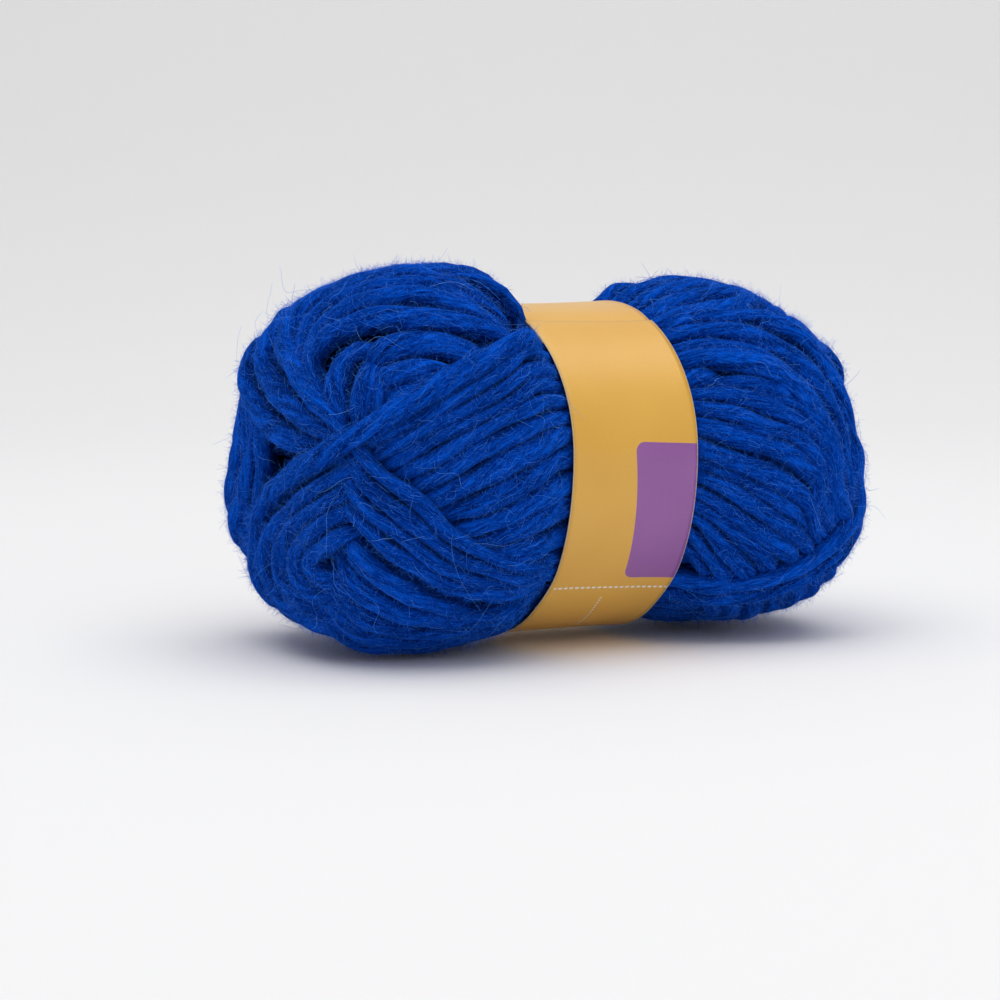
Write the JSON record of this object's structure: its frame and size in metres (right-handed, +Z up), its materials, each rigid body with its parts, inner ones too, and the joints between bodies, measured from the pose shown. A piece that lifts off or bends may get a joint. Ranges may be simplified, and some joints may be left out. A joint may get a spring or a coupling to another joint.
{
  "type": "banded skein of wool roving yarn",
  "caption": "Two-lobed pull skein of bulky blue wool roving lying on its side, held round its waist by a plain paper ball band.",
  "frame": {"origin": "on the surface the skein rests on, under the middle of its box", "axes": "+X along the skein's long axis towards its smaller lobe, +Y from the front to the back, +Z up"},
  "size_m": [0.132, 0.0832, 0.0815],
  "materials": {
    "wool_roving": "royal blue loose roving, matt, with a halo of fine stray hairs",
    "coated_paper": "ochre coated paper with a soft sheen and a plain violet panel"
  },
  "bodies": {
    "root": {"wool": "wool_roving", "paper_band": "coated_paper"}
  },
  "joints": []
}
